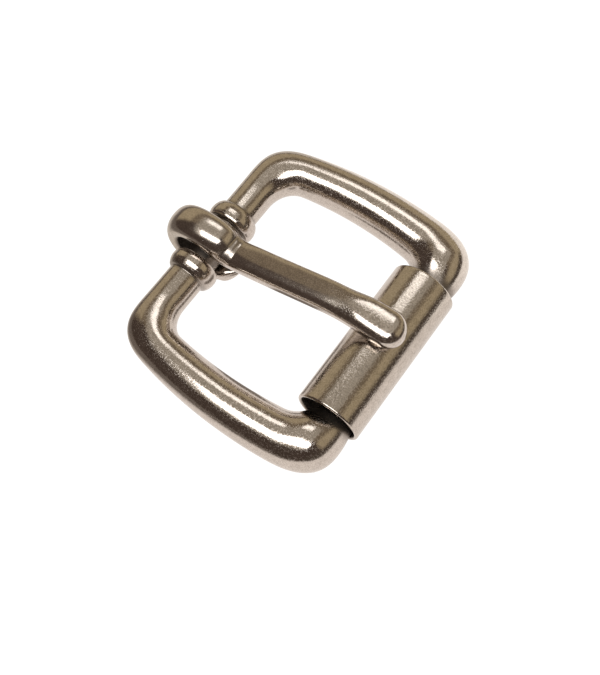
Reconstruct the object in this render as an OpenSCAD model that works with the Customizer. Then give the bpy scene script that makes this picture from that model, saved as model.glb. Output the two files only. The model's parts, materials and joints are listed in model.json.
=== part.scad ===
/* [Frame] */
// Clear width for the strap between the arms at the hinge bar, mm
strap_clear = 25.8; // [20:0.2:32]
// Distance from the hinge pin axis to the front bar axis, mm
bar_spacing = 29.4; // [26:0.2:34]
// How much wider the frame is at the front than at the hinge, mm
front_flare = 1.5; // [0:0.1:4]
// How far each arm bows outward at its middle, mm
arm_bow = 1.66; // [0.4:0.02:2.6]
// Diameter of the hinge bar beside the collars, mm
hinge_bar_d = 5.4; // [4.8:0.1:6]
// Diameter of the hinge pin between the collars, mm
hinge_pin_d = 4.8; // [4:0.1:5]
// Diameter of the two collars at their fullest, mm
collar_d = 7.3; // [6.6:0.1:7.8]
// Width of one collar along the bar, mm
collar_w = 2.75; // [2:0.05:3.4]
// Free distance between the two collars, mm
collar_gap = 6.8; // [5.6:0.1:7.6]
// Arm diameter next to the hinge corner, mm
arm_d_back = 6.1; // [5.6:0.1:6.6]
// Arm diameter next to the front corner, mm
arm_d_front = 7.25; // [6.4:0.05:7.6]

/* [Roller] */
// Outside diameter of the roller, mm
roller_d = 9.5; // [9:0.1:10.5]
// Length of the roller, mm
roller_len = 23.2; // [20:0.2:23.6]
// Wall thickness of the roller, mm
roller_wall = 0.55; // [0.4:0.05:0.65]

/* [Tongue] */
// Width of the shaft, mm
shaft_w = 4.3; // [3.4:0.1:4.8]
// Thickness of the shaft, mm
shaft_h = 2.9; // [2.3:0.1:3.1]
// Width of the eye, mm
eye_w = 4.8; // [4:0.1:5.2]
// Bore diameter of the eye, mm
eye_bore_d = 7.3; // [7.1:0.05:7.6]
// Wall thickness of the eye over the pin, mm
eye_wall = 2.65; // [2:0.05:2.7]

/* [Hidden] */
// Heights above the table. The buckle lies on the roller and on the eye of the tongue.
roller_z = roller_d / 2;
eye_z = 6.35;
hinge_z = 6.05;
front_z = 4.05;
arm_camber = 0.3;

// The eye hangs back on the pin, and the roller lies back on the front bar.
eye_back = 0.8;
roller_back = 0.9;
side_shift = -0.35;

// In a corner the outside follows a bend, and the inside has a wide fillet.
corner_reach_back = 3.4;
corner_reach_front = 3.9;
corner_d_back = 6.7;
corner_d_front = 8.15;
corner_handle = 0.6;
fillet_back = 2.7;
fillet_front = 3.4;
fillet_handle = 0.36;
front_bar_d = 5.4;
front_neck_d = 6;
neck_end_y = 12.25;

// The arm's ends stand this much proud of the bars, so that the faces never coincide.
seat_step = 0.06;
overlap = 0.5;

// Number of flat sides and of stations along each part of the arm.
sides = 24;
lead_steps = 3;
corner_steps = 9;
run_steps = 2;
arm_steps = 12;

half_back = strap_clear / 2 + arm_d_back / 2;
half_front = half_back + front_flare / 2;
roller_x = bar_spacing - roller_back;
eye_x = -eye_back;

// The origin is at the middle of the whole, so all is moved back by this much.
centre_x = (roller_x + roller_d / 2 + eye_x - eye_bore_d / 2 - eye_wall) / 2;

$fn = 64;

function mix(a, b, t) = a + (b - a) * t;
function ease(t) = let (u = min(max(t, 0), 1)) u * u * (3 - 2 * u);
function unit(v) = v / norm(v);
function cubic(a, b, c, d, t) =
    pow(1 - t, 3) * a + 3 * pow(1 - t, 2) * t * b + 3 * (1 - t) * t * t * c + t * t * t * d;

// Plan of the arm: a shallow curve from the hinge bar line to the front bar line.
arm_foot = [0, half_back];
arm_head = [bar_spacing, half_front];
arm_side = unit([arm_foot.y - arm_head.y, arm_head.x - arm_foot.x]);
function arm_plan(t) = mix(arm_foot, arm_head, t) + arm_side * 4 * arm_bow * t * (1 - t);
function arm_way(t) = unit(arm_head - arm_foot + arm_side * 4 * arm_bow * (1 - 2 * t));

arm_t0 = corner_reach_back / bar_spacing;
arm_t1 = 1 - corner_reach_front / bar_spacing;
bar_end_back = [0, half_back - corner_reach_back];
bar_end_front = [bar_spacing, half_front - corner_reach_front];
k_back = corner_reach_back * corner_handle;
k_front = corner_reach_front * corner_handle;

function corner_back(t) = cubic(bar_end_back, bar_end_back + [0, k_back],
    arm_plan(arm_t0) - arm_way(arm_t0) * k_back, arm_plan(arm_t0), t);
function corner_front(t) = cubic(arm_plan(arm_t1), arm_plan(arm_t1) + arm_way(arm_t1) * k_front,
    bar_end_front + [0, k_front], bar_end_front, t);

function plane_z(x) = let (u = min(max(x / bar_spacing, 0), 1))
    mix(hinge_z, front_z, u) + arm_camber * 4 * u * (1 - u);

// A station holds its inner and outer point in plan, its height above the table and its thickness.
function inward(way) = [way.y, -way.x];
function station(p, way, d) = [p + inward(way) * d / 2, p - inward(way) * d / 2, plane_z(p.x), d];
function arm_station(u) = station(arm_plan(u), arm_way(u),
    mix(arm_d_back, arm_d_front, (u - arm_t0) / (arm_t1 - arm_t0)));

// The fillets start on the bars and end on the arms, at these places.
lead_back_y = strap_clear / 2 - fillet_back;
lead_front_y = half_front - arm_d_front / 2 - fillet_front;
fillet_u0 = (hinge_bar_d / 2 + fillet_back) / bar_spacing;
fillet_u1 = 1 - (front_neck_d / 2 + fillet_front) / bar_spacing;

function direction(a, b) = unit(b - a);
nudge = 0.01;

back_stations = concat(
    [for (i = [0 : lead_steps - 1])
        station([0, mix(lead_back_y, bar_end_back.y, i / lead_steps)], [0, 1], hinge_bar_d + seat_step)],
    [for (i = [0 : corner_steps]) let (t = i / corner_steps)
        station(corner_back(t), direction(corner_back(t - nudge), corner_back(t + nudge)),
            t < 0.5 ? mix(hinge_bar_d + seat_step, corner_d_back, ease(2 * t))
                : mix(corner_d_back, arm_d_back, ease(2 * t - 1)))],
    [for (i = [1 : run_steps]) arm_station(mix(arm_t0, fillet_u0, i / run_steps))]
);
front_stations = concat(
    [for (i = [0 : run_steps - 1]) arm_station(mix(fillet_u1, arm_t1, i / run_steps))],
    [for (i = [0 : corner_steps]) let (t = i / corner_steps)
        station(corner_front(t), direction(corner_front(t - nudge), corner_front(t + nudge)),
            t < 0.5 ? mix(arm_d_front, corner_d_front, ease(2 * t))
                : mix(corner_d_front, front_neck_d, ease(2 * t - 1)))],
    [for (i = [0 : lead_steps])
        station([bar_spacing, mix(neck_end_y, lead_front_y, i / lead_steps)], [0, -1],
            front_bar_d + seat_step)]
);

// Carries the inner points of a list of stations on one wide bend, in step with the outer points.
function travelled(list, i) = i == 0 ? 0 : travelled(list, i - 1) + norm(list[i][1] - list[i - 1][1]);
function filleted(list, start_way, end_way) =
    let (last = len(list) - 1, a = list[0][0], d = list[last][0], hold = fillet_handle * norm(d - a))
    [for (i = [0 : last])
        let (t = travelled(list, i) / travelled(list, last),
            inner = cubic(a, a + start_way * hold, d - end_way * hold, d, t))
        [inner, list[i][1], plane_z((inner.x + list[i][1].x) / 2), list[i][3]]];

arm_stations = concat(
    filleted(back_stations, [0, 1], arm_way(fillet_u0)),
    [for (i = [1 : arm_steps - 1]) arm_station(mix(fillet_u0, fillet_u1, i / arm_steps))],
    filleted(front_stations, arm_way(fillet_u1), [0, -1])
);

// Two triangles for every cell between neighbouring rings, and a fan on each end.
function skin(rings, n) = concat(
    [for (i = [0 : rings - 2], j = [0 : n - 1])
        [i * n + j, i * n + (j + 1) % n, (i + 1) * n + (j + 1) % n]],
    [for (i = [0 : rings - 2], j = [0 : n - 1])
        [i * n + j, (i + 1) * n + (j + 1) % n, (i + 1) * n + j]],
    [[for (j = [n - 1 : -1 : 0]) j]],
    [[for (j = [0 : n - 1]) (rings - 1) * n + j]]
);

module arm() {
    points = [for (s = arm_stations, j = [0 : sides - 1])
        let (a = 360 * j / sides, plan = (s[0] + s[1]) / 2 + cos(a) * (s[0] - s[1]) / 2)
        [plan.x, plan.y, s[2] + sin(a) * s[3] / 2]];
    polyhedron(points = points, faces = skin(len(arm_stations), sides), convexity = 6);
}

module bar(length, d) {
    rotate([90, 0, 0])
        cylinder(d = d, h = length, center = true);
}

// A collar is turned: a full round bead with a flat face to the tongue and a small shoulder to the bar.
// Each point is a share of the width, and how far the metal lies below the full radius.
collar_outline = [[0, 0.42], [0.12, 0.12], [0.3, 0], [0.55, 0.02], [0.75, 0.18], [0.9, 0.42], [1, 0.7]];

module collar() {
    translate([0, collar_gap / 2, 0])
        rotate([-90, 0, 0])
            rotate_extrude()
                polygon(concat([[0, 0]], [for (c = collar_outline) [collar_d / 2 - c[1], collar_w * c[0]]],
                    [[0, collar_w]]));
}

module frame() {
    collar_end = collar_gap / 2 + collar_w;
    color([0.55, 0.52, 0.46])
    translate([-centre_x, 0, 0]) {
        arm();
        mirror([0, 1, 0]) arm();
        translate([0, 0, hinge_z]) {
            bar(collar_gap + 2 * overlap, hinge_pin_d);
            collar();
            mirror([0, 1, 0]) collar();
            for (side = [-1, 1])
                translate([0, side * (collar_end + lead_back_y) / 2, 0])
                    bar(lead_back_y - collar_end + 2 * overlap, hinge_bar_d);
        }
        translate([bar_spacing, 0, front_z])
            bar(2 * (lead_front_y + overlap), front_bar_d);
    }
}

module roller() {
    color([0.6, 0.57, 0.5])
    translate([roller_x - centre_x, side_shift, roller_z])
        difference() {
            bar(roller_len, roller_d);
            bar(roller_len + 2 * overlap, roller_d - 2 * roller_wall);
        }
}

// The tongue is one bar of metal: a climbing shaft that turns over at the tip, a neck, and the eye bent
// round the pin, with a bulge where it meets the shaft and a tail tucked under it.
bore_r = eye_bore_d / 2;
bore_bite = 0.25;
loop_h = eye_wall + bore_bite;
eye_mid_r = bore_r + (eye_wall - bore_bite) / 2;
loop_from = 41;
loop_to = 292;
eye_bulge = 0.7;
bulge_at = 48;
bulge_spread = 24;

neck_x = 5.6;
neck_z = 8.95;
neck_handle = 0.8;
shaft_climb = 0.125;
tip_fall = -0.06;
crest_from = 22.5;
crest_to = 27.5;
shaft_thickens_at = 21;

tip_x = 32.1;
tip_w = 5;
tip_h = 2.95;
tip_round = 2.5;
tip_drop = 0.3;
tip_end_h = 1.1;
tip_turn = 86;
tip_lean = 0.5;

tail_w = 3.9;
tail_reach = 4.1;
tail_turn = 86;
tail_end_w = 0.12;
tail_end_h = 0.45;

eye_slide = -0.1;
skew = 1.25;
skew_from = 2;
skew_over = 26.1;

ring_n = 28;
end_steps = 7;
shaft_steps = 20;
neck_steps = 6;
loop_steps = 27;
tail_steps = 6;

shaft_end_x = tip_x - tip_round;
tip_full_at = shaft_end_x - 1;
level = [-1, 0];
neck_way = unit([-1, -shaft_climb]);

function bulge(a) = eye_bulge * exp(-pow((a - bulge_at) / bulge_spread, 2));
function loop_point(a) = [eye_x, eye_z] + (eye_mid_r + bulge(a) / 2) * [cos(a), sin(a)];
function loop_way(a) = [-sin(a), cos(a)];
function tongue_y(x) = side_shift + eye_slide + skew * ease((x - skew_from) / skew_over);

// The slope eases from the climb to the fall between the two ends of the crest.
function turned(x) = let (past = (x - crest_from) / (crest_to - crest_from), u = min(max(past, 0), 1))
    (pow(u, 3) - pow(u, 4) / 2 + max(past - 1, 0)) * (crest_to - crest_from);
function shaft_z(x) = neck_z + shaft_climb * (x - neck_x) + (tip_fall - shaft_climb) * turned(x);
function shaft_fill(x) = ease((x - shaft_thickens_at) / (tip_full_at - shaft_thickens_at));

// Squareness of the section: 0 is round, 1 has a flat back and steep sides.
shaft_square = 0.35;
squared_over = 3;
tip_square = 0.3;
eye_square = 0.05;
crest_round = 0.4;
round_at = 23.5;
round_spread = 2.2;
function rounder(x) = crest_round * exp(-pow((x - round_at) / round_spread, 2));

// Each tongue station is x, z, width, thickness, direction of the bar in the side view, and squareness.
tip_part = [for (i = [0 : end_steps - 1])
    let (a = tip_turn * (1 - i / end_steps), x = shaft_end_x + tip_round * sin(a))
    [x, shaft_z(x) - tip_drop * pow(sin(a), 2), tip_w * cos(a), mix(tip_h, tip_end_h, pow(sin(a), 3)),
        [-cos(a * tip_lean), sin(a * tip_lean)], tip_square]];
shaft_part = [for (i = [0 : shaft_steps])
    let (x = mix(shaft_end_x, neck_x, i / shaft_steps), s = shaft_fill(x))
    [x, shaft_z(x), mix(shaft_w, tip_w, s), mix(shaft_h, tip_h, s),
        level, mix(eye_square, mix(shaft_square, tip_square, s), ease((x - neck_x) / squared_over))
            - rounder(x)]];
neck_part = [for (i = [1 : neck_steps])
    let (t = i / (neck_steps + 1), s = ease(t), a = [neck_x, neck_z], b = loop_point(loop_from),
        p = cubic(a, a + neck_way * neck_handle, b - loop_way(loop_from) * neck_handle, b, t))
    [p.x, p.y, mix(shaft_w, eye_w, s), mix(shaft_h, loop_h + bulge(loop_from), s),
        unit(mix(level, loop_way(loop_from), s)), eye_square]];
loop_part = [for (i = [0 : loop_steps])
    let (a = mix(loop_from, loop_to, i / loop_steps), p = loop_point(a))
    [p.x, p.y, eye_w, loop_h + bulge(a), loop_way(a), eye_square]];
tail_part = [for (i = [1 : tail_steps])
    let (a = tail_turn * i / tail_steps, way = loop_way(loop_to),
        p = loop_point(loop_to) + way * (tail_reach * sin(a)),
        rounded_end = mix(tail_end_w, 1, sqrt(1 - pow(sin(a), 6))))
    [p.x, p.y, mix(eye_w, tail_w, sin(a)) * rounded_end, loop_h * mix(tail_end_h, 1, cos(a)),
        way, eye_square]];
tongue_stations = concat(tip_part, shaft_part, neck_part, loop_part, tail_part);

// Section at angle a: the outer side follows the squareness, and the inner side is always square.
// The back leans to the far side, by a share of the height above the section's middle.
// A power of 2 is an ellipse and more is squarer; the pairs are for a round and for a square back.
inner_power = 4;
width_powers = [2.2, 4.2];
height_powers = [2, 2.8];
back_lean = 0.25;
function rounded(v, power) = sign(v) * pow(abs(v), 2 / power);
function section(w, h, square, a) = sin(a) > 0
    ? [w / 2 * rounded(cos(a), mix(width_powers[0], width_powers[1], square)),
        h / 2 * rounded(sin(a), mix(height_powers[0], height_powers[1], square))]
    : [w / 2 * rounded(cos(a), inner_power), h / 2 * rounded(sin(a), inner_power)];

module tongue() {
    points = [for (s = tongue_stations, j = [0 : ring_n - 1])
        let (up = [s[4].y, -s[4].x], c = section(s[2], s[3], s[5], 360 * j / ring_n),
            y = tongue_y(s[0]) + c.x + back_lean * max(c.y, 0))
        [s[0] + up.x * c.y, y, s[1] + up.y * c.y]];
    color([0.5, 0.47, 0.41])
    translate([-centre_x, 0, 0])
        difference() {
            polyhedron(points = points, faces = skin(len(tongue_stations), ring_n), convexity = 8);
            translate([eye_x, 0, eye_z])
                bar(tip_w + 2 * overlap, eye_bore_d);
        }
}

frame();
tongue();
roller();
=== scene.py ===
# %% [markdown]
# # A roller buckle, dressed
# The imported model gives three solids: a cast frame, a tongue bent round its hinge pin, and a loose
# tube on the front bar. This lesson gives each of them a fine, smooth surface of the same form and
# the finish of worn, tumble polished metal. Lengths are in millimetres until a mesh is made.

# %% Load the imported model
import json
import math
import bmesh
import bpy
import numpy as np
from mathutils import Matrix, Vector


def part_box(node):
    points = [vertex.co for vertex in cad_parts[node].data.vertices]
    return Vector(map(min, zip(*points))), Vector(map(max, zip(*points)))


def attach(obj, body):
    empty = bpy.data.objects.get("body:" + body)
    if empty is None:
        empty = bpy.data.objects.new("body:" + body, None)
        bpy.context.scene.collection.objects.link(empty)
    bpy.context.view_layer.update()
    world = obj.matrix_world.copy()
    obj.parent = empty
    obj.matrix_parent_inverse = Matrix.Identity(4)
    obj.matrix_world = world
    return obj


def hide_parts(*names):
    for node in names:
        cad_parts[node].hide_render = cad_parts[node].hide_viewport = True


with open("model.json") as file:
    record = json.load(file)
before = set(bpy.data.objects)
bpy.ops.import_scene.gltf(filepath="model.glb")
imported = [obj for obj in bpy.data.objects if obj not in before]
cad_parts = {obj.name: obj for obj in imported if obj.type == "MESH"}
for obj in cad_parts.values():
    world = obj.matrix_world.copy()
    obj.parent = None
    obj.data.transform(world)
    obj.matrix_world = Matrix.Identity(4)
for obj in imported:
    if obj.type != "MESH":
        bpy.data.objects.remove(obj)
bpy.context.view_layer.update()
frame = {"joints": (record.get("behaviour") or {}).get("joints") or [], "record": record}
MM = 0.001

# %% [markdown]
# The pieces have to sit where the solids are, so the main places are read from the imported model:
# the hinge pin from its mount, and the eye and the roller from their joints. The roller's size is
# that of its box.

# %% Read the main places and sizes
record = frame["record"]
joint_at = {j["name"]: np.array(j["pos_m"]) / MM for j in frame["joints"]}
mount = next(m for m in record["mounts"] if m["name"] == "hinge_bar")
PIN = np.array(mount["pos_m"]) / MM
EYE = joint_at["tongue_swing"]
TUBE = joint_at["roller_spin"]
tube_low, tube_high = (np.array(corner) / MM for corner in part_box("roller"))
tube_d = tube_high[2] - tube_low[2]
tube_len = tube_high[1] - tube_low[1]
print("pin", PIN.round(3), "eye", EYE.round(3), "tube", TUBE.round(3))
print("tube diameter", round(tube_d, 2), "length", round(tube_len, 2))

# %% [markdown]
# The camera looks steeply down across the near corner, as the photograph does. Its place is worked
# out from a turn, a rise and a roll about the point on the table that it looks at. The picture is
# taller than wide, so Blender lays the sensor's width along the picture's height.

# %% Camera
LOOK_AT = np.array([3.820, -2.896, 0.0])
TURN, RISE, ROLL = math.radians(48.103), math.radians(64.156), math.radians(-13.208)
DISTANCE = 135.52
FOCAL_PX, TALL_PX, SENSOR = 950.3, 675, 36.0
NEAREST_SEEN = 0.01  # metres

back = np.array([math.sin(TURN) * math.cos(RISE), -math.cos(TURN) * math.cos(RISE), math.sin(RISE)])
level = np.array([math.cos(TURN), math.sin(TURN), 0.0])
rise = np.cross(back, level)
right = math.cos(ROLL) * level + math.sin(ROLL) * rise
up = -math.sin(ROLL) * level + math.cos(ROLL) * rise
camera = bpy.data.objects.new("camera", bpy.data.cameras.new("camera"))
camera.data.sensor_width = SENSOR
camera.data.lens = FOCAL_PX * SENSOR / TALL_PX
camera.data.clip_start = NEAREST_SEEN
pose = Matrix(np.column_stack([right, up, back]).tolist()).to_4x4()
pose.translation = (LOOK_AT + back * DISTANCE) * MM
camera.matrix_world = pose
bpy.context.scene.collection.objects.link(camera)
bpy.context.scene.camera = camera
print("lens", round(camera.data.lens, 2), "mm")

# %% [markdown]
# The world, the floor and the metals are all node trees. Written out node by node they are long and
# hard to follow, so one small helper adds a node, sets or links its inputs, and gives its output.

# %% Node helper
MIX_FIRST, MIX_SECOND, MIX_RESULT = 6, 7, 2  # the sockets that a Mix node uses for colours


class Nodes:
    """Adds nodes to a tree and links them; inputs are given by name as a value or as an output."""

    def __init__(self, tree):
        self.tree = tree

    def add(self, kind, settings=None, **inputs):
        """A new node; an input is named with _ for a space, or numbered, such as in_0."""
        node = self.tree.nodes.new(kind)
        for key, value in (settings or {}).items():
            setattr(node, key, value)
        for key, value in inputs.items():
            slot = int(key[3:]) if key.startswith("in_") else key.replace("_", " ")
            self.feed(node.inputs[slot], value)
        return node

    def feed(self, socket, value):
        """Links an output to the socket, or sets the socket's own value."""
        if isinstance(value, bpy.types.NodeSocket):
            self.tree.links.new(value, socket)
        else:
            socket.default_value = value

    def math(self, operation, a, b=0.0):
        """One step of arithmetic."""
        return self.add("ShaderNodeMath", {"operation": operation}, in_0=a, in_1=b).outputs[0]

    def span(self, value, low, high):
        """Smooth step of value: 0 at low and 1 at high."""
        settings = {"interpolation_type": "SMOOTHSTEP"}
        return self.add("ShaderNodeMapRange", settings, Value=value, From_Min=low, From_Max=high).outputs[0]

    def blend(self, share, first, second):
        """Colour first at share 0, second at share 1."""
        node = self.add("ShaderNodeMix", {"data_type": "RGBA"}, in_0=share)
        for slot, tint in ((MIX_FIRST, first), (MIX_SECOND, second)):
            linked = isinstance(tint, bpy.types.NodeSocket)
            self.feed(node.inputs[slot], tint if linked else (*tint, 1.0))
        return node.outputs[MIX_RESULT]


# %% [markdown]
# Polished metal shows what stands around it. A small light tent gives the calm bands that make a
# tube look round: a dim ceiling with a darker rim, olive walls with a dark skirt at the roller's end,
# a dark opening on the camera's side, and two soft lamps under the ceiling. The tent could be built
# of panels. Here the world holds all but the lamps, as a colour for each direction, so that no wall
# gets in the way of a camera at another angle.

# %% World, as a colour for each direction
WHITE = (1.0, 1.0, 1.0)
CEILING = (0.472, 0.429, 0.365)
RIM = (0.235, 0.187, 0.132)
WALL = (0.49, 0.41, 0.28)
OPENING = (0.085, 0.063, 0.052)
SKIRT = (0.10, 0.08, 0.065)
LOWEST = 0.02  # a direction at or below the horizon counts as this high
CEILING_SHAPE = 0.6  # width along X over length along Y
CEILING_EDGE, RIM_EDGE = (0.50, 0.63), (0.90, 1.15)  # way from the middle over the height
RIM_TURN, WALL_TURN = (-0.02, 0.10), (-0.12, 0.12)  # from the opening to the far side
SKIRT_TOP, SKIRT_SIDE = (0.34, 0.18), (0.3, 0.7)  # height, and turn towards the roller's end

world = bpy.data.worlds.new("light_tent")
world.use_nodes = True
world.node_tree.nodes.clear()
bpy.context.scene.world = world
tent = Nodes(world.node_tree)
way = tent.add("ShaderNodeTexCoord").outputs["Generated"]
way_x, way_y, way_z = tent.add("ShaderNodeSeparateXYZ", in_0=way).outputs
height = tent.math("MAXIMUM", way_z, LOWEST)
off_x = tent.math("ABSOLUTE", tent.math("DIVIDE", way_x, height))
off_y = tent.math("ABSOLUTE", tent.math("DIVIDE", way_y, height))
off_centre = tent.math("MAXIMUM", off_x, tent.math("MULTIPLY", off_y, CEILING_SHAPE))
rim = tent.blend(tent.span(way_y, *RIM_TURN), OPENING, RIM)
sides = tent.blend(tent.span(way_y, *WALL_TURN), OPENING, WALL)
skirt = tent.math("MULTIPLY", tent.span(way_z, *SKIRT_TOP), tent.span(way_x, *SKIRT_SIDE))
sides = tent.blend(skirt, sides, SKIRT)
colour = tent.blend(tent.span(off_centre, *CEILING_EDGE), CEILING, rim)
colour = tent.blend(tent.span(off_centre, *RIM_EDGE), colour, sides)
seen = tent.add("ShaderNodeLightPath").outputs["Is Camera Ray"]
sky = tent.add("ShaderNodeBackground", in_0=tent.blend(seen, colour, WHITE))
tent.add("ShaderNodeOutputWorld", in_0=sky.outputs[0])
print("world nodes:", len(world.node_tree.nodes))

# %% [markdown]
# Two lamps are wide enough to draw long white streaks on the arms, and near enough that the streaks
# move from one arm to the other. A lamp's brightness is its power over its area and pi.

# %% Lamps
LAMP_Z = 280.0
LAMP_COLOUR = (0.985, 0.99, 0.995)
LAMPS = {  # left, right, near and far edge, and brightness
    "lamp_near": ((-106.0, 200.0), (-200.0, -58.0), 3.8),
    "lamp_far": ((-125.0, 35.0), (112.0, 212.0), 1.6),
}
for name, (span_x, span_y, bright) in LAMPS.items():
    lamp = bpy.data.lights.new(name, "AREA")
    lamp.shape = "RECTANGLE"
    lamp.size, lamp.size_y = np.diff(span_x)[0] * MM, np.diff(span_y)[0] * MM
    lamp.energy = bright * math.pi * lamp.size * lamp.size_y
    lamp.color = LAMP_COLOUR
    lamp_object = bpy.data.objects.new(name, lamp)
    lamp_object.location = (sum(span_x) / 2 * MM, sum(span_y) / 2 * MM, LAMP_Z * MM)
    lamp_object.visible_camera = False
    bpy.context.scene.collection.objects.link(lamp_object)
    print(name, "power", round(lamp.energy, 3), "W")

# %% [markdown]
# The floor is a pale sheet that glows like a light table, so shadows stay faint and the camera sees
# it white. The metal mirrors it too, and there its glow is painted light and shade: a painted shadow
# under the buckle, painted light round it, duller past the hinge bar, and dark where the tent ends.

# %% Floor
FLOOR_HALF = 3.0  # metres, as all sizes of the floor are
SHEET, SHEET_ROUGH = (0.16, 0.155, 0.15, 1.0), 0.9
# the painted shadow under the buckle, and the floor's colour round it, in what the metal mirrors
FLOOR_SHADOW, AROUND = (0.14, 0.115, 0.10), (0.89, 0.84, 0.81)
# where the painted shadow fades out, how far it sits to the near side, and how much narrower it is along X
FLOOR_SHADOW_EDGE, FLOOR_SHADOW_NEARER, FLOOR_SHADOW_SHAPE = (0.005, 0.009), 0.0045, 1.8
LIGHT_AND_SHADE_PATCHES = (  # painted light and shade: what it is measured along, where it begins and where it is full, and its colour
    ("y", (0.014, 0.024), (1.10, 1.06, 1.02)),
    ("x", (-0.012, -0.020), (0.62, 0.57, 0.51)),
    ("x", (-0.045, -0.065), (0.10, 0.08, 0.07)),
    ("x", (0.060, 0.100), (0.10, 0.08, 0.07)),
    ("x + y", (-0.031, -0.053), (0.08, 0.06, 0.05)),
)
floor_mesh = bpy.data.meshes.new("floor")
corners = [(x * FLOOR_HALF, y * FLOOR_HALF, 0.0) for x, y in ((-1, -1), (1, -1), (1, 1), (-1, 1))]
floor_mesh.from_pydata(corners, [], [(0, 1, 2, 3)])
floor = bpy.data.objects.new("floor", floor_mesh)
bpy.context.scene.collection.objects.link(floor)
floor_paint = bpy.data.materials.new("pale_floor")
floor_paint.use_nodes = True
paper = floor_paint.node_tree.nodes["Principled BSDF"]
paper.inputs["Base Color"].default_value = SHEET
paper.inputs["Roughness"].default_value = SHEET_ROUGH
paper.inputs["Specular IOR Level"].default_value = 0.0
paper.inputs["Emission Strength"].default_value = 1.0
sheet = Nodes(floor_paint.node_tree)
spot = sheet.add("ShaderNodeTexCoord").outputs["Object"]
spot_x, spot_y = sheet.add("ShaderNodeSeparateXYZ", in_0=spot).outputs[:2]
along = {"x": spot_x, "y": spot_y, "x + y": sheet.math("ADD", spot_x, spot_y)}
out_x = sheet.math("MULTIPLY", sheet.math("ABSOLUTE", spot_x), FLOOR_SHADOW_SHAPE)
out_y = sheet.math("ABSOLUTE", sheet.math("ADD", spot_y, FLOOR_SHADOW_NEARER))
# what the metal mirrors: the painted shadow under the buckle, then the painted light and shade patches
painted_floor_light = sheet.blend(sheet.span(sheet.math("MAXIMUM", out_x, out_y), *FLOOR_SHADOW_EDGE), FLOOR_SHADOW, AROUND)
for line, edge, tint in LIGHT_AND_SHADE_PATCHES:
    painted_floor_light = sheet.blend(sheet.span(along[line], *edge), painted_floor_light, tint)
glow = sheet.blend(sheet.add("ShaderNodeLightPath").outputs["Is Camera Ray"], painted_floor_light, WHITE)
sheet.feed(paper.inputs["Emission Color"], glow)
floor_mesh.materials.append(floor_paint)
bpy.context.scene.view_settings.view_transform = "Standard"
print("floor nodes:", len(floor_paint.node_tree.nodes))

# %% [markdown]
# Each piece is a grid of points: rows are stations along a path, columns go round the section. A
# tube's rows may close on themselves as its columns do, and an end that doesn't close is gathered
# into one point. The grid also keeps its measure in metres as a UV map, ready for any mark that has
# to follow the metal.

# %% Grid helper
MERGE = 1e-8  # metres; only points of a gathered row are this near to each other


def mix(a, b, t):
    """Straight blend: a at t 0 and b at t 1."""
    return a + (b - a) * t


def ease(t):
    """Smooth step: 3 t squared minus 2 t cubed, held between 0 and 1."""
    u = np.clip(t, 0.0, 1.0)
    return u * u * (3.0 - 2.0 * u)


def unit(v):
    """Vectors of length 1 along the last axis."""
    return v / np.linalg.norm(v, axis=-1, keepdims=True)


def travelled(points):
    """Length of the path up to each of its points."""
    return np.concatenate([[0.0], np.cumsum(np.linalg.norm(np.diff(points, axis=0), axis=1))])


def cubic(a, b, c, d, t):
    """Bezier curve through a and d with handles b and c."""
    t = np.asarray(t)[:, None]
    return (1 - t) ** 3 * a + 3 * (1 - t) ** 2 * t * b + 3 * (1 - t) * t**2 * c + t**3 * d


def close_poles(mesh):
    """Merges the gathered end rows into one point each."""
    skin = bmesh.new()
    skin.from_mesh(mesh)
    bmesh.ops.remove_doubles(skin, verts=skin.verts, dist=MERGE)
    skin.to_mesh(mesh)
    skin.free()


def grid_piece(name, points, loop_rows, masks):
    """A mesh from points[row, column, xyz] in mm, whose columns go round and close.

    A quad joins each cell's four corners. With loop_rows the last row joins the first, and
    otherwise the first and last rows are gathered into one point each. masks are named values
    from 0 to 1 for each point.
    """
    rows, columns = points.shape[:2]
    if not loop_rows:
        points = points.copy()
        points[0] = points[0].mean(0)
        points[-1] = points[-1].mean(0)
    bands = rows if loop_rows else rows - 1
    row, column = np.meshgrid(np.arange(bands), np.arange(columns), indexing="ij")
    next_row, next_column = row + 1, column + 1
    corner_rows = np.stack([row, row, next_row, next_row], -1).reshape(-1, 4)
    corner_columns = np.stack([column, next_column, next_column, column], -1).reshape(-1, 4)
    quads = (corner_rows % rows) * columns + corner_columns % columns
    step_row = np.linalg.norm(np.diff(np.concatenate([points, points[:1]]), axis=0), axis=2).mean(1)
    measure_row = np.concatenate([[0.0], np.cumsum(step_row)]) * MM
    step_column = np.linalg.norm(np.diff(np.concatenate([points, points[:, :1]], 1), axis=1), axis=2)
    measure_column = np.arange(columns + 1) / columns * step_column.sum(1).max() * MM
    uv = np.stack([measure_row[corner_rows], measure_column[corner_columns]], -1)

    mesh = bpy.data.meshes.new(name)
    mesh.from_pydata((points.reshape(-1, 3) * MM).tolist(), [], quads.tolist())
    layer = mesh.uv_layers.new(name="metal")
    layer.data.foreach_set("uv", uv.astype(np.float32).ravel())
    for key, values in masks.items():
        mask = mesh.attributes.new(key, "FLOAT", "POINT")
        mask.data.foreach_set("value", np.clip(values, 0.0, 1.0).astype(np.float32).ravel())
    mesh.polygons.foreach_set("use_smooth", np.ones(len(quads), bool))
    piece = bpy.data.objects.new(name, mesh)
    bpy.context.scene.collection.objects.link(piece)
    if not loop_rows:
        close_poles(mesh)
    print(name, "points", len(mesh.vertices), "faces", len(mesh.polygons))
    return piece


# %% [markdown]
# The frame is one casting: the hinge pin, a collar, the bar, the back corner, the bowed arm, the
# front corner and the front bar, and the same again on the other side. A curve with a round bevel
# could draw it, but then a corner's inner and outer bends would be tied to each other. On the real
# one the inner side keeps to a small fillet while the outer side swings wide. So the frame is one
# closed tube, and each of its stations holds an inner and an outer point, a height and a thickness.

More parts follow.
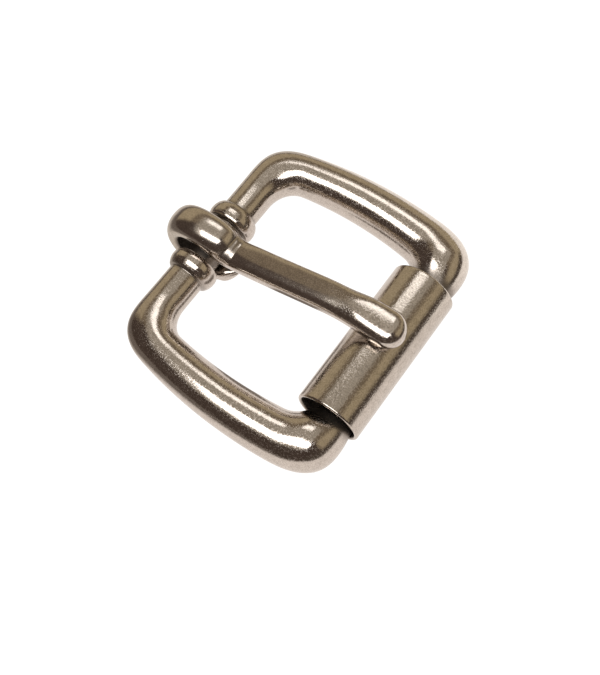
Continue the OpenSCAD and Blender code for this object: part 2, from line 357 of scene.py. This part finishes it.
# %% Frame sizes
PIN_D, BAR_D, COLLAR_D = 4.8, 5.4, 7.3
COLLAR_IN, COLLAR_W = 3.4, 2.75
ARM_BACK_D, ARM_FRONT_D = 6.1, 7.25
CORNER_BACK_D, CORNER_FRONT_D = 6.7, 8.15
FRONT_BAR_D, NECK_D = 5.4, 6.0
BAR_SPACING, FRONT_Z, CAMBER = 29.4, 4.05, 0.3
STRAP_CLEAR, FLARE, BOW = mount["dims"]["length_mm"], 1.5, 1.658
REACH_BACK, REACH_FRONT = 3.4, 3.9
HANDLE, INNER_HANDLE, FILLET_HANDLE = 0.6, 0.5, 0.36
NECK_END = 12.25
SOFTEN, BACK_SOFTEN, FILLET_BACK, FILLET_FRONT = 0.6, 2.2, 2.7, 3.4
HALF_BACK = STRAP_CLEAR / 2 + ARM_BACK_D / 2
HALF_FRONT = HALF_BACK + FLARE / 2
print("arms apart:", round(2 * HALF_BACK, 2), "at the hinge bar and", round(2 * HALF_FRONT, 2), "in front")

# %% Plan of the arm and its corners
foot = np.array([0.0, HALF_BACK])
head = np.array([BAR_SPACING, HALF_FRONT])
outward = unit(np.array([foot[1] - head[1], head[0] - foot[0]]))
T_BACK, T_FRONT = REACH_BACK / BAR_SPACING, 1 - REACH_FRONT / BAR_SPACING
back_end = np.array([0.0, HALF_BACK - REACH_BACK])
front_end = np.array([BAR_SPACING, HALF_FRONT - REACH_FRONT])


def arm_plan(t):
    """Parabola from the hinge bar's line to the front bar's line, bowed outward."""
    t = np.atleast_1d(t)[:, None]
    return mix(foot, head, t) + outward * 4 * BOW * t * (1 - t)


def arm_way(t):
    """Direction of the arm in plan."""
    t = np.atleast_1d(t)[:, None]
    return unit(head - foot + outward * 4 * BOW * (1 - 2 * t))


def inward(way):
    """The window's side of a direction in plan, a quarter turn to the right."""
    return np.stack([way[..., 1], -way[..., 0]], -1)


def straight(x, diameters, y):
    """Stations of a bar along Y: its inner and outer points, half a diameter to each side of x."""
    side = 1.0 if x == 0 else -1.0
    inner = np.stack([x + side * diameters / 2, y], -1)
    outer = np.stack([x - side * diameters / 2, y], -1)
    return inner, outer, diameters


def corner(start, start_way, end, end_way, d_start, d_most, d_end, reach, steps):
    """Stations of a corner: the outer points follow a bend offset by the thickness, the inner a fillet."""
    t = np.linspace(0.0, 1.0, steps)
    path = cubic(start, start + start_way * reach * HANDLE, end - end_way * reach * HANDLE, end, t)
    way = unit(np.gradient(path, axis=0))
    way[0], way[-1] = start_way, end_way
    thick = np.where(t < 0.5, mix(d_start, d_most, ease(2 * t)), mix(d_most, d_end, ease(2 * t - 1)))
    outer = path - inward(way) * thick[:, None] / 2
    a = start + inward(start_way) * d_start / 2
    d = end + inward(end_way) * d_end / 2
    hold = INNER_HANDLE * np.linalg.norm(d - a)
    inner = cubic(a, a + start_way * hold, d - end_way * hold, d, t)
    return inner, outer, thick


print("corners end at", back_end.round(2), "and", front_end.round(2), "from the pin")

# %% [markdown]
# The collar is a full bead with a flat face to the tongue and a small shoulder to the bar. It could
# be a ring of its own, but the seam would show that it isn't cast with the bar. So it is part of the
# bar's profile, a short list of radii, and its corners are softened as a tumbled casting's are.

# %% Hinge bar with its collar
COLLAR_PROFILE = np.array([  # way along the bar from the collar's face, and radius over the collar's
    [0.00, -1.00], [0.00, -0.42], [0.07, -0.26], [0.33, -0.12], [0.82, 0.00],
    [1.50, -0.02], [2.06, -0.18], [2.48, -0.42], [2.66, -0.62], [2.75, -0.95],
])
FACE_GAP, SHOULDER, PROFILE_SOFTEN = 0.02, 0.12, 0.09
BELL_REACH = 3
BAR_STEPS = 230


def smooth(values, spread):
    """Values blurred along the first axis by a bell curve of that many steps.

    Past the ends the values go on straight.
    """
    reach = int(BELL_REACH * spread) + 1
    bell = np.exp(-0.5 * (np.arange(-reach, reach + 1) / spread) ** 2)
    bell /= bell.sum()
    before = 2 * values[:1] - values[reach:0:-1]
    after = 2 * values[-1:] - values[-2 : -reach - 2 : -1]
    padded = np.concatenate([before, values, after])
    flat = padded.reshape(len(padded), -1)
    out = np.stack([np.convolve(column, bell, "valid") for column in flat.T], -1)
    return out.reshape(values.shape)


def bar_profile(steps):
    """Places and radii from the pin's middle to the back corner: pin, collar, bar, blurred a little."""
    knots = [[0.0, PIN_D / 2], [COLLAR_IN - FACE_GAP, PIN_D / 2]]
    knots += [[COLLAR_IN + y, COLLAR_D / 2 + dr] for y, dr in COLLAR_PROFILE]
    knots += [[COLLAR_IN + COLLAR_W + SHOULDER, BAR_D / 2], [back_end[1], BAR_D / 2]]
    knots = np.array(knots)
    length = travelled(knots)
    s = np.linspace(0.0, length[-1], steps)
    line = np.stack([np.interp(s, length, knots[:, 0]), np.interp(s, length, knots[:, 1])], -1)
    return smooth(line, PROFILE_SOFTEN / (s[1] - s[0]))


profile = bar_profile(BAR_STEPS)
profile[0, 0] = 0.0
hinge_part = straight(0.0, 2 * profile[:, 1], profile[:, 0])
print("largest diameter of the collar:", round(2 * profile[:, 1].max(), 2))

# %% Corners, arm and front bar
CORNER_STEPS, ARM_STEPS, FRONT_STEPS = 70, 120, 160
PLUS_Y, MINUS_Y = np.array([0.0, 1.0]), np.array([0.0, -1.0])
back_part = corner(back_end, PLUS_Y, arm_plan(T_BACK)[0], arm_way(T_BACK)[0],
                   BAR_D, CORNER_BACK_D, ARM_BACK_D, REACH_BACK, CORNER_STEPS)
share = np.linspace(0.0, 1.0, ARM_STEPS)[1:-1]
arm_d = mix(ARM_BACK_D, ARM_FRONT_D, share)
arm_t = mix(T_BACK, T_FRONT, share)
arm_half = inward(arm_way(arm_t)) * arm_d[:, None] / 2
arm_part = (arm_plan(arm_t) + arm_half, arm_plan(arm_t) - arm_half, arm_d)
front_part = corner(arm_plan(T_FRONT)[0], arm_way(T_FRONT)[0], front_end, MINUS_Y,
                    ARM_FRONT_D, CORNER_FRONT_D, NECK_D, REACH_FRONT, CORNER_STEPS)
front_y = mix(front_end[1], 0.0, np.linspace(0.0, 1.0, FRONT_STEPS)[1:])
neck_share = ease((front_end[1] - front_y) / (front_end[1] - NECK_END))
bar_part = straight(BAR_SPACING, mix(NECK_D, FRONT_BAR_D, neck_share), front_y)
parts = (hinge_part, back_part, arm_part, front_part, bar_part)
path = np.column_stack([np.concatenate(field) for field in zip(*parts)])
print("stations on half the frame:", len(path))

# %% [markdown]
# The parts meet without a step, but polished metal shows a sudden change of bend as a kink in its
# highlight. So the collar keeps its crisp profile, and from the bar beyond it to the front bar the
# path is blurred. At the back corner the thickness swells more slowly than the plan does.

# %% Frame path, softened
SWEPT_STEPS = 360
PLAIN_BAR = 0.6
SWELL_FROM, SWELL_OVER = 8, 8


def even_steps(path, count):
    """The same path at even steps of the length that its middle line travels."""
    length = travelled((path[:, :2] + path[:, 2:4]) / 2)
    s = np.linspace(0.0, length[-1], count)
    return np.stack([np.interp(s, length, column) for column in path.T], -1), s[1]


def fillet(inner, outer, here, size):
    """Carries the inner points round a corner on one wide bend, in step with the outer points."""
    inside = np.flatnonzero((np.abs(inner - here) < size).all(1))
    i, j = inside[0], inside[-1]
    start_way, end_way = unit(inner[i] - inner[i - 1]), unit(inner[j + 1] - inner[j])
    length = travelled(outer[i : j + 1])
    hold = FILLET_HANDLE * np.linalg.norm(inner[j] - inner[i])
    bent = inner.copy()
    bent[i : j + 1] = cubic(inner[i], inner[i] + start_way * hold, inner[j] - end_way * hold, inner[j],
                            length / length[-1])
    return bent


first = int(np.argmax(path[:, 1] > COLLAR_IN + COLLAR_W + PLAIN_BAR))
swept, step = even_steps(path[first:], SWEPT_STEPS)
window_x = (BAR_D / 2, BAR_SPACING - NECK_D / 2)
window_y = (HALF_BACK - ARM_BACK_D / 2, HALF_FRONT - ARM_FRONT_D / 2)
for here, size in zip(np.column_stack([window_x, window_y]), (FILLET_BACK, FILLET_FRONT)):
    swept[:, :2] = fillet(swept[:, :2], swept[:, 2:4], here, size)
swept = smooth(swept, SOFTEN / step)
from_back = ease((swept[:, 0] - SWELL_FROM) / SWELL_OVER)
swept[:, 4] = mix(smooth(swept[:, 4:], BACK_SOFTEN / step)[:, 0], swept[:, 4], from_back)
path = np.concatenate([path[:first], swept])
print("step along the softened path:", round(step, 3))

# %% Frame rings
FRAME_SIDES = 96


def tube_rings(inner, outer, tall, thick, sides):
    """Rings: plan from the inner to the outer point by the cosine, height by the sine."""
    angle = 2 * np.pi * np.arange(sides) / sides
    plan = (inner + outer)[:, None] / 2 + np.cos(angle)[None, :, None] * (inner - outer)[:, None] / 2
    z = tall[:, None] + np.sin(angle)[None] * thick[:, None] / 2
    return np.concatenate([plan, z[..., None]], -1)


inner, outer, thick = path[:, :2], path[:, 2:4], path[:, 4]
run = np.clip((inner[:, 0] + outer[:, 0]) / 2 / BAR_SPACING, 0.0, 1.0)
tall = mix(PIN[2], FRONT_Z, run) + CAMBER * 4 * run * (1 - run)
half = tube_rings(inner, outer, tall, thick, FRAME_SIDES)
other = half[::-1][1:-1] * np.array([1.0, -1.0, 1.0])
rings = np.concatenate([half, other])
rings[..., 0] += PIN[0]
print("rings on the whole frame:", len(rings), "with", FRAME_SIDES, "points each")

# %% [markdown]
# Painted shade darkens the places where shade falls: the pin between the collars, the groove behind
# each collar, and the roller's mouth. The places are worked out from the sizes and kept on the mesh as
# masks, because a painted mask would have to be drawn again whenever a size changes.

# %% Frame mesh with its dark places
GROOVE_OVER, GROOVE_DARK, MOUTH_OVER = 0.35, 0.7, 0.9
PIN_PAST, PIN_OVER = 0.2, 0.3
HINGE_END, FRONT_START = 4, 5  # how far from its bar's line a place still counts
SHADE_SHARE = 0.8  # how much of the painted shade is kept

from_middle = np.abs(rings[..., 1])
at_hinge = rings[..., 0] < PIN[0] + HINGE_END
at_front = rings[..., 0] > PIN[0] + BAR_SPACING - FRONT_START
groove = np.exp(-((from_middle - COLLAR_IN - COLLAR_W) / GROOVE_OVER) ** 2) * at_hinge
mouth = np.exp(-((from_middle - NECK_END) / MOUTH_OVER) ** 2) * at_front
pin_zone = ease((COLLAR_IN + PIN_PAST - from_middle) / PIN_OVER) * at_hinge
dark_places = np.maximum.reduce([groove * GROOVE_DARK, mouth, pin_zone])
# recess_shade is painted shade: there the metal's colour is taken towards the dark brown
frame_masks = {"recess_shade": dark_places * SHADE_SHARE, "calm": dark_places}
frame_piece = grid_piece("frame_casting", rings, True, frame_masks)

# %% [markdown]
# The tongue is one bar of metal bent round the pin. Its path in the side view runs from the tip along
# the shaft, down a short neck, over and round the eye, and ends in a tail tucked under the shaft. A
# box drawn out under a subdivision surface could give it, but the eye's bore has to be a true circle.
# So a section is carried along the path, and inside the eye every point is held out at the bore's
# radius. The section is a soft rectangle whose outer side is rounder than its inner side.

# %% Tongue sizes
BORE_R, EYE_WALL, BITE = 3.65, 2.65, 0.25
LOOP_FROM, LOOP_TO = math.radians(41), math.radians(292)
SHAFT_W, SHAFT_H, EYE_W = 4.3, 2.9, 4.8
TIP_W, TIP_H, TIP_R = 5.0, 2.94, 2.5
NECK_XZ = np.array([5.6, 8.95]) + [PIN[0], 0.0]
TIP_X = 32.1 + PIN[0]
CLIMB, FALL, CREST = 0.125, -0.06, (22.5, 27.5)
BULGE, BULGE_AT, BULGE_OVER = 0.7, math.radians(48), math.radians(24)
FILL_FROM, FILL_OVER = 21.0, 7.6
TAIL_W, TAIL_LEN = 3.9, 4.1
eye_mid_r = BORE_R + (EYE_WALL - BITE) / 2
shaft_end = TIP_X - TIP_R
print("radius of the eye's middle", round(eye_mid_r, 2), "and the shaft ends at", round(shaft_end, 2))


# %% Tongue path in the side view
def past_pin(x, start, over):
    """Smooth step along X: 0 at start from the pin, and 1 when x is past that by over."""
    return ease((x - PIN[0] - start) / over)


def bulge(a):
    """Metal added outside the eye where it was upset against the shaft, most at BULGE_AT."""
    return BULGE * np.exp(-(((a - BULGE_AT) / BULGE_OVER) ** 2))


def loop_point(a):
    """Centre of the bar on its circle round the eye's axis, in the side view."""
    r = eye_mid_r + bulge(a) / 2
    return np.stack([EYE[0] + r * np.cos(a), EYE[2] + r * np.sin(a)], -1)


def loop_way(a):
    """Direction of the bar on that circle."""
    return np.stack([-np.sin(a), np.cos(a)], -1)


def shaft_line(x):
    """Height of the middle of the shaft and tip: a straight climb that turns over into a slight fall.

    The slope changes as 3 u squared minus 2 u cubed over the crest, so the height has u cubed minus
    half of u to the fourth there.
    """
    past = (x - PIN[0] - CREST[0]) / (CREST[1] - CREST[0])
    u = np.clip(past, 0.0, 1.0)
    turned = (u**3 - u**4 / 2 + np.maximum(past - 1.0, 0.0)) * (CREST[1] - CREST[0])
    return NECK_XZ[1] + CLIMB * (x - NECK_XZ[0]) + (FALL - CLIMB) * turned


def stations(place, width, thickness, way, square, end=0.0):
    """One row for each station, from values for all rows or for each.

    A row is x, z, width, thickness, way x, way z, squareness and share of a rounded end.
    """
    n = len(place)
    width, thickness, square, end = (np.broadcast_to(value, n) for value in (width, thickness, square, end))
    return np.column_stack([place, width, thickness, np.broadcast_to(way, (n, 2)), square, end])


print("height of the shaft's middle at the tip:", round(float(shaft_line(shaft_end)), 2))

# %% Tongue stations: place, width, thickness and direction
TIP_STEPS, SHAFT_STEPS, NECK_STEPS, LOOP_STEPS, TAIL_STEPS = 60, 160, 60, 200, 60
SHAFT_SQUARE, TIP_SQUARE, EYE_SQUARE, SQUARE_OVER = 0.35, 0.3, 0.05, 3
CREST_ROUND, ROUND_AT, ROUND_OVER = 0.4, 23.5, 2.2
TIP_DROP = 0.3
NECK_HANDLE, NECK_CHORD = 0.55, 0.5
TAIL_THIN, TAIL_ROUNDS = 0.45, 0.45
LEVEL = np.array([-1.0, 0.0])

tip_share = np.sin(np.linspace(np.pi / 2, 0.0, TIP_STEPS)[:-1])
tip_x = shaft_end + TIP_R * tip_share
tip_place = np.stack([tip_x, shaft_line(tip_x) - TIP_DROP * tip_share**2], -1)
tip_part = stations(tip_place, TIP_W, TIP_H, LEVEL, TIP_SQUARE, tip_share)

shaft_x = np.linspace(shaft_end, NECK_XZ[0], SHAFT_STEPS)
fill = past_pin(shaft_x, FILL_FROM, FILL_OVER)
squared = ease((shaft_x - NECK_XZ[0]) / SQUARE_OVER)
rounder = CREST_ROUND * np.exp(-(((shaft_x - PIN[0] - ROUND_AT) / ROUND_OVER) ** 2))
square = mix(EYE_SQUARE, mix(SHAFT_SQUARE, TIP_SQUARE, fill), squared) - rounder
shaft_part = stations(np.stack([shaft_x, shaft_line(shaft_x)], -1), mix(SHAFT_W, TIP_W, fill),
                      mix(SHAFT_H, TIP_H, fill), LEVEL, square)

chord_x = NECK_XZ[0] + NECK_CHORD
neck_way = unit(NECK_XZ - np.array([chord_x, shaft_line(chord_x)]))
loop_start, loop_start_way = loop_point(LOOP_FROM), loop_way(LOOP_FROM)
t = np.linspace(0.0, 1.0, NECK_STEPS + 2)[1:-1]
neck_place = cubic(NECK_XZ, NECK_XZ + neck_way * NECK_HANDLE, loop_start - loop_start_way * NECK_HANDLE,
                   loop_start, t)
neck_part = stations(neck_place, mix(SHAFT_W, EYE_W, ease(t)),
                     mix(SHAFT_H, EYE_WALL + BITE + bulge(LOOP_FROM), ease(t)),
                     unit(mix(LEVEL, loop_start_way, ease(t)[:, None])), EYE_SQUARE)

a = np.linspace(LOOP_FROM, LOOP_TO, LOOP_STEPS)
loop_part = stations(loop_point(a), EYE_W, EYE_WALL + BITE + bulge(a), loop_way(a), EYE_SQUARE)

tail_bend = np.linspace(0.0, np.pi / 2, TAIL_STEPS)[1:]
tail_share = np.sin(tail_bend)
tail_way = loop_way(LOOP_TO)
tail_place = loop_point(LOOP_TO) + tail_way * TAIL_LEN * tail_share[:, None]
tail_part = stations(tail_place, mix(EYE_W, TAIL_W, tail_share),
                     (EYE_WALL + BITE) * mix(TAIL_THIN, 1.0, np.cos(tail_bend)), tail_way, EYE_SQUARE,
                     ease((tail_share - TAIL_ROUNDS) / (1 - TAIL_ROUNDS)) ** 0.5)
path = np.concatenate([tip_part, shaft_part, neck_part, loop_part, tail_part])
print("stations on the tongue:", len(path))

# %% Tongue rings
TONGUE_SIDES = 96
FLAT_POWERS, DROP_POWERS = (2.2, 4.2), (2.0, 2.8)  # p and q of a round and of a square outer side
INNER_POWER = 4.0
LEAN = 0.25
ASIDE, SKEW, SKEW_FROM, SKEW_OVER = 0.1, 1.25, 2.0, 26.1
TINY = 1e-6


def tongue_rings(path, sides):
    """Rings across the path: y by a power of the cosine, and the height left at that y.

    The height is half the thickness times (1 - r ** p) ** (1 / q), where r is the distance from the
    middle line over half the width, and at a rounded end the distance from the end's centre. The
    back leans to the far side, by a share of the height above the section's middle.
    """
    place, width, thickness, way, square, end = np.split(path, [2, 3, 4, 6, 7], axis=1)
    up = np.stack([way[:, 1], -way[:, 0]], -1)
    angle = 2 * np.pi * (np.arange(sides) + 0.5) / sides
    cosine, sine = np.cos(angle), np.sin(angle)
    outer_side = sine > 0
    flat_power = np.where(outer_side, mix(*FLAT_POWERS, square), INNER_POWER)
    drop_power = np.where(outer_side, mix(*DROP_POWERS, square), INNER_POWER)
    across = np.sign(cosine) * np.abs(cosine) ** (2 / flat_power)
    narrow = np.sqrt(1 - end**2)
    r = np.sqrt(np.clip(end**2 + (narrow * across) ** 2, 0.0, 1.0))
    lift = np.sign(sine) * np.clip(1 - r**flat_power, 0.0, 1.0) ** (1 / drop_power)
    y = width / 2 * narrow * across
    rise = thickness / 2 * lift
    x = place[:, :1] + up[:, :1] * rise
    z = place[:, 1:] + up[:, 1:] * rise
    sway = EYE[1] - ASIDE + SKEW * past_pin(place[:, 0], SKEW_FROM, SKEW_OVER)
    return np.stack([x, y + LEAN * np.maximum(rise, 0.0) + sway[:, None], z], -1)


def hold_out_of_bore(points):
    """Moves points that lie inside the eye's bore straight out to its radius."""
    dx, dz = points[..., 0] - EYE[0], points[..., 2] - EYE[2]
    far = np.hypot(dx, dz)
    grow = np.where(far < BORE_R, BORE_R / np.maximum(far, TINY), 1.0)
    out = points.copy()
    out[..., 0] = EYE[0] + dx * grow
    out[..., 2] = EYE[2] + dz * grow
    return out


tongue_points = hold_out_of_bore(tongue_rings(path, TONGUE_SIDES))
print("top of the tongue:", round(tongue_points[..., 2].max(), 3))

# %% [markdown]
# The strap rubs the shaft and the eye smooth, so their shine is calmer than the tip's. Painted shade
# darkens the bore, and more faintly the valley where the neck meets the eye.

# %% Tongue mesh with its dark and calm places
BORE_OVER = 0.5
VALLEY_X, VALLEY_Z, VALLEY_DARK, VALLEY_OVER = 4.6, 10.4, 0.35, 0.9
CALM_SHAFT, CALM_TIP, CALM_UNTIL, CALM_OVER = 0.85, 0.1, 20, 6

from_eye = np.hypot(tongue_points[..., 0] - EYE[0], tongue_points[..., 2] - EYE[2])
in_bore = ease((BORE_R + BORE_OVER - from_eye) / BORE_OVER)
from_valley = np.hypot(tongue_points[..., 0] - PIN[0] - VALLEY_X, tongue_points[..., 2] - VALLEY_Z)
dark_places = np.maximum(in_bore, VALLEY_DARK * np.exp(-((from_valley / VALLEY_OVER) ** 2)))
calm = mix(CALM_SHAFT, CALM_TIP, past_pin(tongue_points[..., 0], CALM_UNTIL, CALM_OVER))
# the bore and the valley get painted shade
tongue_masks = {"recess_shade": dark_places, "calm": calm}
tongue_piece = grid_piece("tongue_casting", tongue_points, False, tongue_masks)

# %% [markdown]
# The roller is a cut and deburred tube. A cylinder with Solidify and Bevel modifiers would do, but
# its rims would be rings of small flats. Turning a closed profile round the bar's line gives the wall
# and its rounded rims in one smooth surface.

# %% Roller mesh
TUBE_WALL, RIM_STEPS, TUBE_SIDES, TUBE_STEPS = 0.55, 10, 288, 60
INSIDE_FROM, INSIDE_OVER = 0.55, 0.4  # shares of the wall


def tube_profile():
    """Closed profile of the wall: radius and place along the tube, with a half round at each end."""
    middle_r, half_wall = tube_d / 2 - TUBE_WALL / 2, TUBE_WALL / 2
    half_len = tube_len / 2 - half_wall
    along = np.linspace(-half_len, half_len, TUBE_STEPS)
    bend = np.linspace(np.pi / 2, -np.pi / 2, RIM_STEPS)[1:-1]
    rim = np.stack([middle_r + half_wall * np.sin(bend), half_len + half_wall * np.cos(bend)], -1)
    outside = np.stack([np.full(TUBE_STEPS, middle_r + half_wall), along], -1)
    inside = np.stack([np.full(TUBE_STEPS, middle_r - half_wall), along[::-1]], -1)
    return np.concatenate([outside, rim, inside, (rim * [1, -1])[::-1]])


wall = tube_profile()
turn = 2 * np.pi * np.arange(TUBE_SIDES) / TUBE_SIDES
tube_points = np.stack([
    TUBE[0] + wall[None, :, 0] * np.cos(turn)[:, None],
    np.broadcast_to(TUBE[1] + wall[None, :, 1], (TUBE_SIDES, len(wall))),
    TUBE[2] + wall[None, :, 0] * np.sin(turn)[:, None],
], -1)
depth = tube_d / 2 - wall[:, 0]
in_tube = np.broadcast_to(ease((depth / TUBE_WALL - INSIDE_FROM) / INSIDE_OVER), tube_points.shape[:2])
# the inside of the tube gets painted shade
roller_piece = grid_piece("roller_tube", tube_points, True, {"recess_shade": in_tube * SHADE_SHARE, "calm": in_tube})

# %% [markdown]
# The finish is a tumble polished casting that has been handled: a warm grey metal with a fine grain
# that breaks up the highlights, slow waves left by the mould, small pits, and brown tarnish in stains
# and pits. The same brown is painted in as shade where the masks mark the hollows. It could be an
# image wrapped on each piece. Noise on Object coordinates needs no image, has no seam, and turns with
# the piece. Both metals share these effects, so they are a node group with named inputs.

# %% Shared surface effects: inputs and outputs
SOCKETS = {
    "INPUT": {"Grain Size": "Float", "Wave Height": "Float", "Grain Height": "Float", "Roughness": "Float",
              "Metal": "Color", "Tarnish": "Color"},
    "OUTPUT": {"Colour": "Color", "Roughness": "Float", "Height": "Float"},
}
wear_and_shade_group = bpy.data.node_groups.new("worn_metal_and_shade", "ShaderNodeTree")
for in_out, kinds in SOCKETS.items():
    for name, kind in kinds.items():
        wear_and_shade_group.interface.new_socket(name=name, in_out=in_out, socket_type="NodeSocket" + kind)
print("inputs:", list(SOCKETS["INPUT"]), "outputs:", list(SOCKETS["OUTPUT"]))

# %% Shared surface effects: patterns
GRAIN = {"Detail": 2.0, "Roughness": 0.6}  # its scale comes from the grain's size
MOTTLE = {"Scale": 1100.0, "Detail": 3.0, "Roughness": 0.6}
WAVES = {"Scale": 330.0, "Detail": 1.0}
STAIN = {"Scale": 180.0, "Detail": 4.0, "Roughness": 0.65}
PITS = {"Scale": 1300.0}
PIT_EDGE, PIT_STAIN = (0.10, 0.02), (0.50, 0.62)

wear_and_shade_nodes = Nodes(wear_and_shade_group)
given = wear_and_shade_nodes.add("NodeGroupInput").outputs
place = wear_and_shade_nodes.add("ShaderNodeTexCoord").outputs["Object"]
grain_scale = wear_and_shade_nodes.math("DIVIDE", 1.0 / MM, given["Grain Size"])
grain = wear_and_shade_nodes.add("ShaderNodeTexNoise", Vector=place, Scale=grain_scale, **GRAIN).outputs[0]
mottle = wear_and_shade_nodes.add("ShaderNodeTexNoise", Vector=place, **MOTTLE).outputs[0]
waves = wear_and_shade_nodes.add("ShaderNodeTexNoise", Vector=place, **WAVES).outputs[0]
stain = wear_and_shade_nodes.add("ShaderNodeTexNoise", Vector=place, **STAIN).outputs[0]
pits = wear_and_shade_nodes.add("ShaderNodeTexVoronoi", Vector=place, **PITS).outputs["Distance"]
pit_mask = wear_and_shade_nodes.math("MULTIPLY", wear_and_shade_nodes.span(pits, *PIT_EDGE), wear_and_shade_nodes.span(stain, *PIT_STAIN))
# recess_shade is the mask of painted shade in the hollows
recess = wear_and_shade_nodes.add("ShaderNodeAttribute", {"attribute_name": "recess_shade"}).outputs["Fac"]
calm_part = wear_and_shade_nodes.add("ShaderNodeAttribute", {"attribute_name": "calm"}).outputs["Fac"]
loud = wear_and_shade_nodes.math("SUBTRACT", 1.0, calm_part)
print("pattern nodes:", len(wear_and_shade_group.nodes))

# %% Shared surface effects: colour, roughness and height
STAIN_EDGE, STAIN_DARK, PIT_DARK = (0.56, 0.80), 0.20, 0.5
SPECK_EDGE, SPECK_DARK = (0.58, 0.42), 0.28
MOTTLE_EDGE, MOTTLE_DARK = (0.35, 0.75), 0.15
MATT_EDGE, MATT_ROUGH, RECESS_ROUGH, CALM_ROUGH = (0.565, 0.585), 0.18, 0.25, 0.07
PIT_DEPTH = 1.5


def scaled(value, amount):
    """The value times an amount."""
    return wear_and_shade_nodes.math("MULTIPLY", value, amount)


# darker towards the brown: painted shade in the hollows, and real stains and pits
dirt_and_shade = wear_and_shade_nodes.math("MAXIMUM", recess, scaled(wear_and_shade_nodes.span(stain, *STAIN_EDGE), STAIN_DARK))
dirt_and_shade = wear_and_shade_nodes.math("MAXIMUM", dirt_and_shade, scaled(pit_mask, PIT_DARK))
speck = scaled(wear_and_shade_nodes.span(grain, *SPECK_EDGE), SPECK_DARK)
speck = wear_and_shade_nodes.math("ADD", speck, scaled(wear_and_shade_nodes.span(mottle, *MOTTLE_EDGE), MOTTLE_DARK))
tone = wear_and_shade_nodes.blend(speck, given["Metal"], given["Tarnish"])
colour = wear_and_shade_nodes.blend(dirt_and_shade, tone, given["Tarnish"])
matt = scaled(wear_and_shade_nodes.span(grain, *MATT_EDGE), loud)
rough = wear_and_shade_nodes.math("ADD", given["Roughness"], scaled(matt, MATT_ROUGH))
rough = wear_and_shade_nodes.math("ADD", rough, scaled(recess, RECESS_ROUGH))
rough = wear_and_shade_nodes.math("ADD", rough, scaled(calm_part, CALM_ROUGH))
grain_relief = scaled(scaled(grain, given["Grain Height"]), loud)
relief = wear_and_shade_nodes.math("ADD", grain_relief, scaled(waves, given["Wave Height"]))
relief = wear_and_shade_nodes.math("SUBTRACT", relief, scaled(pit_mask, PIT_DEPTH))
wear_and_shade_nodes.add("NodeGroupOutput", in_0=colour, in_1=rough, in_2=relief)
print("group nodes:", len(wear_and_shade_group.nodes))

# %% The two metals
RELIEF = 2.6e-5  # metres of relief for a height of 1
GRAIN_MM = 0.20
# a dark brown, for tarnish stains and for the painted shade in the hollows
TARNISH_AND_SHADE = (0.20, 0.17, 0.145, 1.0)


def metal(name, base, grain_height, wave_height, roughness):
    """A Principled metal whose colour, roughness and relief come from the shared group."""
    material = bpy.data.materials.new(name)
    material.use_nodes = True
    tree = Nodes(material.node_tree)
    shader = material.node_tree.nodes["Principled BSDF"]
    shader.inputs["Metallic"].default_value = 1.0
    effects = tree.add("ShaderNodeGroup", {"node_tree": wear_and_shade_group}, Grain_Size=GRAIN_MM, Grain_Height=grain_height,
                       Wave_Height=wave_height, Roughness=roughness, Metal=(*base, 1.0), Tarnish=TARNISH_AND_SHADE)
    bump = tree.add("ShaderNodeBump", Height=effects.outputs["Height"], Strength=1.0, Distance=RELIEF)
    tree.feed(shader.inputs["Base Color"], effects.outputs["Colour"])
    tree.feed(shader.inputs["Roughness"], effects.outputs["Roughness"])
    tree.feed(shader.inputs["Normal"], bump.outputs[0])
    return material


cast_metal = metal("worn_casting_and_shade", (0.67, 0.602, 0.541), grain_height=0.38, wave_height=1.0, roughness=0.10)
tube_metal = metal("worn_tube_and_shade", (0.636, 0.571, 0.507), grain_height=0.7, wave_height=0.3, roughness=0.09)
print("materials:", cast_metal.name, tube_metal.name)

# %% [markdown]
# Each dressed piece stands for its solid, rides on the same body and takes its finish.

# %% Hand the pieces over
for piece, node, finish, slot in (
    (frame_piece, "frame", cast_metal, "cast_metal"),
    (tongue_piece, "tongue", cast_metal, "cast_metal"),
    (roller_piece, "roller", tube_metal, "tube_metal"),
):
    piece.data.materials.append(finish)
    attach(piece, node)
    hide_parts(node)
